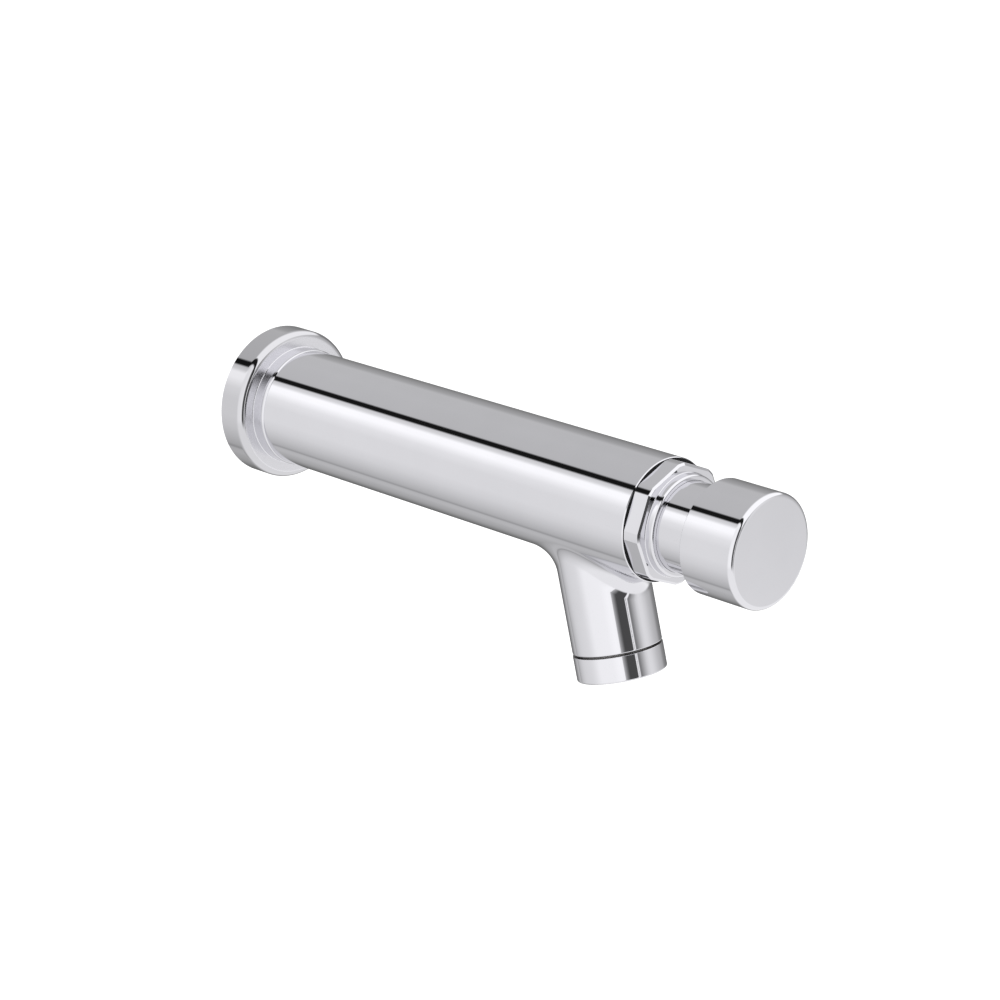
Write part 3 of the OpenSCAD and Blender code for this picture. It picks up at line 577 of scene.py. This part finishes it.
thread_angles = full_turn(THREAD_STEPS)
thread_count = round(thread_length / thread_pitch * ROWS_A_PITCH)
thread_rows = [[thread_corner(a, -thread_length * (1 - k / thread_count)) for a in thread_angles]
               for k in range(thread_count + 1)]
thread_root_r = thread_crest_r - thread_depth
hexagon = flat_sided(6, hex_flat_r, hex_corner_r, corner_steps=2, flat_steps=8)
hex_angles = outline_angles(hexagon)
nipple_inside = rounded([
    (thread_crest_r, barrel_back), (thread_crest_r, nipple_end, 0), (nipple_ledge_r, nipple_end, 0),
    (nipple_ledge_r, nipple_shelf, 0), (nipple_bore_r, nipple_shelf, 0),
    (nipple_bore_r, strainer_recess - thread_length, 0),
    (strainer_recess_r, strainer_recess - thread_length, 0), (strainer_recess_r, -thread_length, 0),
    (thread_root_r, -thread_length)])
nipple_relief = rounded([(thread_root_r, 0), (relief_r, 0, 0), (relief_r, hex_back)])
hex_rows = [bar_row(hexagon, hex_chamfer, hex_back, -math.pi / 4),
            bar_row(hexagon, 0, hex_back + hex_chamfer, -math.pi / 4)]
hex_sides = [bar_row(hexagon, 0, hex_back + hex_chamfer, 0), bar_row(hexagon, 0, barrel_back, 0)]
inlet_nipple = skin("inlet_nipple_threaded", barrel_axes,
                    [thread_rows, *turned(nipple_inside, hex_angles), *turned(nipple_relief, hex_angles),
                     flat_between(relief_r, hexagon, hex_chamfer, hex_back, -1), hex_rows, hex_sides,
                     flat_between(thread_crest_r, hexagon, 0, barrel_back, 1)])
brass = polished_metal("turned_brass", (0.83, 0.63, 0.30), bright=0.16, dull=0.34,
                       smear_scale=120.0, line_scale=2600.0, line_depth=0.000004)
dress(inlet_nipple, brass, "brass", "tap", "inlet_nipple")

# Seals
# Moulded black rubber: the ring seals, the valve's washer, the piston's cup and the seals under the
# cartridge and the aerator. All of them are out of sight.
rubber = soft_material("black_rubber", (0.010, 0.010, 0.011), dullness=0.62, cell_scale=3800.0,
                       cell_depth=0.00001, shade=0.7)
finish_nodes(rubber, "inlet_o_ring", "seat_o_ring", "valve_washer", "stem_o_ring", "piston_cup_seal",
             "bonnet_seal", "neck_wiper", "aerator_seal")

# Moulded inner pieces
# White acetal mouldings with a fine spark eroded grain: the strainer, the flow restrictor, the
# piston, the guide bush and the aerator's stack. The timing cylinder is moulded in grey.
white_plastic = soft_material("white_acetal", (0.83, 0.83, 0.80), dullness=0.42, cell_scale=2600.0,
                              cell_depth=0.000012, shade=0.94)
grey_plastic = soft_material("grey_acetal", (0.33, 0.35, 0.38), dullness=0.45, cell_scale=2600.0,
                             cell_depth=0.000012, shade=0.9)
finish_nodes(white_plastic, "inlet_filter", "flow_restrictor", "piston", "guide_bush", "aerator_plate",
             "aerator_insert", "aerator_screen")
finish_nodes(grey_plastic, "timing_cylinder")

# Valve and stem
# The seat, the washer's holder, its nut and the timing jet are turned brass. The stem, its nut, the
# spring's washer and the clip are stainless steel. All are held inside the barrel.
steel = polished_metal("stainless_steel", (0.62, 0.62, 0.61), bright=0.18, dull=0.36,
                       smear_scale=150.0, line_scale=3000.0, line_depth=0.000003)
finish_nodes(brass, "valve_seat", "valve_holder", "valve_nut", "timing_jet")
finish_nodes(steel, "stem", "stem_nut", "spring_washer", "piston_clip")

# Return spring
# An open coil of stainless wire, wound cold. It stands on the cylinder's partition and shortens as
# the button goes in.
spring_low, spring_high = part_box("return_spring")
wire_r = 0.6 * MM
coil_r = spring_high.x - wire_r
coil_start = -spring_high.y + wire_r
coil_end = -spring_low.y - wire_r
coil_turns = 5
COIL_STEPS = 40
WIRE_SIDES = 12


def coil_row(step):
    """Ring of the wire's section at one step of the coil."""
    angle = 2 * math.pi * step / COIL_STEPS
    out = Vector((math.cos(angle), math.sin(angle), 0))
    rise = (coil_end - coil_start) / (coil_turns * COIL_STEPS)
    middle = coil_r * out + Vector((0, 0, coil_start + rise * step))
    row = []
    for k in range(WIRE_SIDES):
        side = 2 * math.pi * k / WIRE_SIDES
        normal = math.cos(side) * out + Vector((0, 0, math.sin(side)))
        row.append((tuple(middle + wire_r * normal), tuple(normal)))
    return row


def wire_end(row, facing):
    """Flat end of the wire."""
    middle = sum((Vector(p) for p, n in row), Vector()) / len(row)
    rim = [(p, facing) for p, n in row]
    return [[(tuple(middle), facing)] * len(row), rim]


coil_rows = [coil_row(step) for step in range(coil_turns * COIL_STEPS + 1)]
coil_back = wire_end(coil_rows[0], (0, -1, 0))
coil_front = wire_end(coil_rows[-1], (0, 1, 0))[::-1]
return_spring = skin("return_spring_wound", barrel_axes, [coil_rows, coil_back, coil_front])
dress(return_spring, steel, "stainless_steel", "tap", "return_spring")
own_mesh(return_spring)

# Bonnet nut
# Brass, milled with eight flats on a round bar, its front edge bevelled, with a round lip where the
# button slides out. It is chrome plated and screws the cartridge into the barrel. The thin washer
# squeezed under it is made black, painted shade of the gap between nut and barrel, and shows as a
# dark crescent beside each flat.
washer_inset = 0.25 * MM
washer_h = 0.15 * MM
nut_corner_inset = 0.35 * MM
nut_flat_inset = 1.3 * MM
washer_r = barrel_r - washer_inset
nut_back = barrel_front + washer_h
nut_front = -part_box("bonnet_nut")[0].y
nut_corner_r = barrel_r - nut_corner_inset
nut_flat_r = barrel_r - nut_flat_inset
nut_foot = 0.15 * MM
nut_bevel = 0.7 * MM
nut_bevel_h = 0.5 * MM
nut_ease = 0.12 * MM
lip_h = 2.6 * MM
nut_face = nut_front - lip_h
lip_r = 15.7 * MM
lip_top_r = 15.48 * MM
lip_round = 0.8 * MM
lip_root = 0.3 * MM
lip_foot_r = lip_r + lip_root
lip_bore_r = 13.95 * MM
lip_bore_ease = 0.05 * MM
lip_shelf = 179.3 * MM
nut_bore_r = 15.3 * MM
tail_r = 16.8 * MM
tail_back = -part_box("bonnet_nut")[1].y
octagon = flat_sided(8, nut_flat_r, nut_corner_r, corner_steps=4, flat_steps=24)
octagon_angles = outline_angles(octagon)
nut_foot_rows = [bar_row(octagon, nut_foot, nut_back, -math.pi / 4),
                 bar_row(octagon, 0, nut_back + nut_foot, -math.pi / 4)]
nut_outline = rounded([
    (0, nut_back + nut_foot), (0, nut_face - nut_bevel_h, nut_ease), (-nut_bevel, nut_face, nut_ease),
    (-nut_bevel - nut_ease, nut_face)])[0]
nut_sides = [bar_row(octagon, -point.x, point.y, math.atan2(facing.y, facing.x))
             for point, facing in nut_outline]
nut_lip = rounded([
    (lip_foot_r, nut_face), (lip_r, nut_face, lip_root), (lip_top_r, nut_front, lip_round),
    (lip_bore_r, nut_front, lip_bore_ease), (lip_bore_r, lip_shelf, 0), (nut_bore_r, lip_shelf, 0),
    (nut_bore_r, tail_back, 0), (tail_r, tail_back, 0), (tail_r, nut_back)])
bonnet_nut = skin("bonnet_nut_plated", barrel_axes,
                  [nut_foot_rows, nut_sides,
                   flat_between(lip_foot_r, octagon, nut_bevel + nut_ease, nut_face, 1),
                   *turned(nut_lip, octagon_angles), flat_between(tail_r, octagon, nut_foot, nut_back, -1)])
dress(bonnet_nut, chrome, "chrome", "tap", "bonnet_nut")
# The washer's black stands in for the shade in the gap between nut and barrel: painted shade
nut_washer = skin("nut_washer_painted_shade", barrel_axes, turned(rounded([
    (tail_r, barrel_front), (washer_r, barrel_front, 0), (washer_r, nut_back, 0), (tail_r, nut_back)]),
    full_turn()))
dress(nut_washer, rubber, "black_rubber", "tap", "nut_washer")
# The washer's painted shade shows as a crescent only, and is not mirrored in the chrome beside it
nut_washer.visible_glossy = False

# Button
# The neck is a deep brass cup that slides through the nut and keeps a ledge behind it. The push cap
# is turned from bar and screwed on the neck. Both are polished and chrome plated, with a plain face.
neck_r = 13.9 * MM
neck_back = -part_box("button_neck")[1].y
neck_front = -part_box("button_neck")[0].y
neck_in_r = 11.9 * MM
neck_floor = 4 * MM
neck_hole_r = 2.6 * MM
stop_r = 15 * MM
stop_h = 2 * MM
button_neck = skin("button_neck_plated", barrel_axes, turned(rounded([
    (neck_hole_r, neck_back), (stop_r, neck_back, 0), (stop_r, neck_back + stop_h, 0),
    (neck_r, neck_back + stop_h, 0), (neck_r, neck_front, 0), (neck_in_r, neck_front, 0),
    (neck_in_r, neck_back + neck_floor, 0), (neck_hole_r, neck_back + neck_floor, 0),
    (neck_hole_r, neck_back)]), full_turn()))
dress(button_neck, chrome, "chrome", "plunger", "button_neck")

cap_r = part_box("button_cap")[1].x
cap_back = -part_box("button_cap")[1].y
cap_face = -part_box("button_cap")[0].y
cap_round = 1.6 * MM
cap_back_round = 0.3 * MM
cap_bore_r = 14 * MM
cap_wall = 3.5 * MM
cap_floor = cap_face - cap_wall
button_cap = skin("button_cap_plated", barrel_axes, turned(rounded([
    (cap_bore_r, cap_back), (cap_r, cap_back, cap_back_round), (cap_r, cap_face, cap_round),
    (0, cap_face, 0), (0, cap_floor, 0), (cap_bore_r, cap_floor, 0), (cap_bore_r, cap_back)]), full_turn()))
dress(button_cap, chrome, "chrome", "plunger", "button_cap")

# Aerator housing
# A chrome plated brass ring on the spout's end. Its thread goes up inside the spout, and its lip
# holds the flow plate, the mixing tube and the screen.
ring_r = 13.85 * MM
ring_top = 47.2 * MM
outlet_end = 55.1 * MM
ring_round = 0.6 * MM
ring_ease = 0.15 * MM
aerator_top = 38.5 * MM
aerator_thread_r = 11.75 * MM
pocket_r = 10.4 * MM
pocket_floor = 53.2 * MM
outlet_r = 9.4 * MM
outlet_ease = 0.4 * MM
aerator_housing = skin("aerator_housing_plated", spout_axes, turned(rounded([
    (pocket_r, aerator_top), (aerator_thread_r, aerator_top, 0), (aerator_thread_r, ring_top, 0),
    (ring_r, ring_top, ring_ease), (ring_r, outlet_end, ring_round), (outlet_r, outlet_end, outlet_ease),
    (outlet_r, pocket_floor, 0), (pocket_r, pocket_floor, 0), (pocket_r, aerator_top)]), full_turn()))
dress(aerator_housing, chrome, "chrome", "tap", "aerator_housing")

# The thread and its shoulder get a dull metal made dark as painted shade of the deep groove, which shows in
# the line above the ring
shoulder_slack = 0.01 * MM
pocket_slack = 0.1 * MM
thread_painted_shade = polished_metal("thread_painted_shade", (0.34, 0.335, 0.33), bright=0.28, dull=0.42,
                            smear_scale=120.0, line_scale=2600.0, line_depth=0.000004)
aerator_housing.data.materials.append(thread_painted_shade)
to_spout_axes = spout_axes.inverted()
for face in aerator_housing.data.polygons:
    middle = to_spout_axes @ face.center
    if middle.z < ring_top + shoulder_slack and middle.xy.length > pocket_r + pocket_slack:
        face.material_index = 1

# Stage
# A pale floor well below the tap, a white tent of light with a grey roof panel and a dark gap
# beside it, and one soft lamp. The tap is held up as a wall would hold it.
floor_drop = 0.35
floor_half = 4.0
floor_tone = 0.8
floor_glow = 0.75
floor_mesh = bpy.data.meshes.new("floor")
floor_mesh.from_pydata([(x, y, -floor_drop) for x, y in
                        ((-floor_half, -floor_half), (floor_half, -floor_half),
                         (floor_half, floor_half), (-floor_half, floor_half))], [], [(0, 1, 2, 3)])
floor = bpy.data.objects.new("floor", floor_mesh)
bpy.context.scene.collection.objects.link(floor)
# The chrome mirrors the tent instead of the floor
floor.visible_glossy = False
floor_paint, floor_tree, floor_shader = new_material("pale_floor")
floor_shader.inputs["Base Color"].default_value = (floor_tone, floor_tone, floor_tone, 1.0)
floor_shader.inputs["Roughness"].default_value = 0.9
floor_shader.inputs["Specular IOR Level"].default_value = 0.0
floor_shader.inputs["Emission Color"].default_value = (1.0, 1.0, 1.0, 1.0)
floor_seen = add(floor_tree, "ShaderNodeLightPath")
floor_light = add(floor_tree, "ShaderNodeMath", {
    0: floor_seen.outputs["Is Camera Ray"], 1: floor_glow}, operation="MULTIPLY")
floor_tree.links.new(floor_light.outputs[0], floor_shader.inputs["Emission Strength"])
floor_mesh.materials.append(floor_paint)

# Tones of the tent round the barrel's line, from 0 at the right through 90 overhead
side_tones = [
    (0, 0.20), (26, 0.36), (36, 0.49), (70, 0.51), (106, 0.50), (112, 0.48), (123, 0.62), (129, 0.75),
    (134, 1.06), (143, 1.05), (158, 0.825), (174, 0.745), (202, 0.745), (220, 0.68), (238, 0.56),
    (253, 0.445), (258, 0.32), (262, 0.48), (270, 0.475), (277, 0.42), (286, 0.37), (294, 0.30),
    (306, 0.18), (318, 0.11), (335, 0.10), (360, 0.20)]
# Tones round the upright line, from the back through the left, the front at 0 and the right
level_tones = [
    (-180, 0.43), (-158, 0.485), (-150, 0.555), (-133, 0.73), (-117, 0.88), (-95, 0.925), (-62, 0.94),
    (-46, 1.0), (-38, 0.98), (-36.8, 0.45), (-34.5, 0.36), (-32, 0.25), (-28.5, 0.14), (-26, 0.068),
    (-5.5, 0.07), (-4, 0.95), (0.5, 0.95), (2.2, 0.20), (5, 0.21), (8.6, 0.30), (16.5, 0.49), (24.4, 0.675),
    (32.4, 0.76), (40, 0.745), (48, 0.68), (63, 0.535), (79, 0.43), (90, 0.25), (102, 0.2), (150, 0.1),
    (167, 0.13), (175, 0.39)]
# The dark gap between the roof and the left wall, as an angle round the barrel's line
gap_tones = [(111.5, 1.0), (113, 0.015), (121.5, 0.015), (123.5, 1.0)]
roof_tone = 1.05
roof_low = 0.3
roof_slope = -1.9
roof_soft = 0.12
table_tone = 0.85
table_edge = -0.30
table_soft = 0.15
# How far a direction points to the front where the tones by side give way to the tones by level
front_start = -0.55
front_full = -0.05
metal_strength = 1.375
plain_strength = 0.55
world = bpy.data.worlds.new("light_tent")
world.use_nodes = True
bpy.context.scene.world = world
tent = world.node_tree
tent.nodes.clear()
way = add(tent, "ShaderNodeTexCoord")
parts = add(tent, "ShaderNodeSeparateXYZ", {0: way.outputs["Generated"]})


def sums(operation, first, second=0.0):
    return add(tent, "ShaderNodeMath", {0: first, 1: second}, operation=operation).outputs[0]


def ramp(share, tones, start=0):
    """Tones by angle, looked up with a share of a full turn."""
    node = add(tent, "ShaderNodeValToRGB", {"Fac": share})
    stops = node.color_ramp.elements
    while len(stops) < len(tones):
        stops.new(0.5)
    for stop, (angle, tone) in zip(stops, tones):
        stop.position = (angle - start) / 360
        stop.color = (tone, tone, tone, 1.0)
    return node.outputs["Color"]


def blend(share, first, second):
    node = add(tent, "ShaderNodeMix", {"Factor": share, MIX_FIRST: first, MIX_SECOND: second},
               data_type="RGBA")
    return node.outputs[MIX_RESULT]


def step(value, start, end):
    return add(tent, "ShaderNodeMapRange", {"Value": value, "From Min": start, "From Max": end},
               interpolation_type="SMOOTHSTEP").outputs[0]


side_angle = sums("ARCTAN2", parts.outputs["Z"], parts.outputs["X"])
side_share = sums("FRACT", sums("DIVIDE", side_angle, 2 * math.pi))
to_front = sums("MULTIPLY", parts.outputs["Y"], -1.0)
level_turn = sums("DIVIDE", sums("ARCTAN2", parts.outputs["X"], to_front), 2 * math.pi)
level_colour = ramp(sums("ADD", level_turn, 0.5), level_tones, -180)
roof_edge = sums("MAXIMUM", sums("MULTIPLY", parts.outputs["X"], roof_slope), roof_low)
roof_share = step(sums("SUBTRACT", parts.outputs["Z"], roof_edge), 0.0, roof_soft)
front_colour = blend(roof_share, level_colour, (roof_tone, roof_tone, roof_tone, 1.0))
table_share = step(parts.outputs["Z"], table_edge, table_edge - table_soft)
front_colour = blend(table_share, front_colour, (table_tone, table_tone, table_tone, 1.0))
front_share = step(to_front, front_start, front_full)
tent_colour = blend(front_share, ramp(side_share, side_tones), front_colour)
tent_dark = add(tent, "ShaderNodeVectorMath", {0: tent_colour, 1: ramp(side_share, gap_tones)},
                operation="MULTIPLY")
tent_colour = tent_dark.outputs[0]
metal_light = add(tent, "ShaderNodeBackground", {"Color": tent_colour, "Strength": metal_strength})
plain_light = add(tent, "ShaderNodeBackground", {
    "Color": (1.0, 1.0, 1.0, 1.0), "Strength": plain_strength})
white_back = add(tent, "ShaderNodeBackground", {"Color": (1.0, 1.0, 1.0, 1.0), "Strength": 1.0})
seen = add(tent, "ShaderNodeLightPath")
mirrored = add(tent, "ShaderNodeMath", {
    0: seen.outputs["Is Glossy Ray"], 1: seen.outputs["Is Transmission Ray"]}, operation="MAXIMUM")
lit = add(tent, "ShaderNodeMixShader", {
    0: mirrored.outputs[0], 1: plain_light.outputs[0], 2: metal_light.outputs[0]})
shown = add(tent, "ShaderNodeMixShader", {
    0: seen.outputs["Is Camera Ray"], 1: lit.outputs[0], 2: white_back.outputs[0]})
add(tent, "ShaderNodeOutputWorld", {"Surface": shown.outputs[0]})

lamp_size = 0.9
lamp_power = 9.0
lamp_place = (-0.5, -0.5, 1.1)
lamp_data = bpy.data.lights.new("soft_lamp", "AREA")
lamp_data.shape = "DISK"
lamp_data.size = lamp_size
lamp_data.energy = lamp_power
lamp = bpy.data.objects.new("soft_lamp", lamp_data)
lamp.location = lamp_place
lamp.rotation_mode = "QUATERNION"
lamp.rotation_quaternion = (-lamp.location).to_track_quat("-Z", "Y")
lamp.visible_glossy = False
bpy.context.scene.collection.objects.link(lamp)

# Camera
# A long lens at the photograph's place: left of the tap, above it and in front of the wall.
camera_target = Vector((0.01532, -0.08900, -0.01790))
camera_azimuth = math.radians(-45.13)
camera_elevation = math.radians(18.94)
camera_distance = 0.93
camera_sensor = 36
camera_lens = 105.31
camera_data = bpy.data.cameras.new("camera")
camera_data.sensor_width = camera_sensor
camera_data.lens = camera_lens
camera = bpy.data.objects.new("camera", camera_data)
back = Vector((math.sin(camera_azimuth) * math.cos(camera_elevation),
               -math.cos(camera_azimuth) * math.cos(camera_elevation), math.sin(camera_elevation)))
camera.location = camera_target + camera_distance * back
camera.rotation_mode = "QUATERNION"
camera.rotation_quaternion = (-back).to_track_quat("-Z", "Y")
bpy.context.scene.collection.objects.link(camera)
bpy.context.scene.camera = camera
bpy.context.scene.view_settings.view_transform = "Standard"
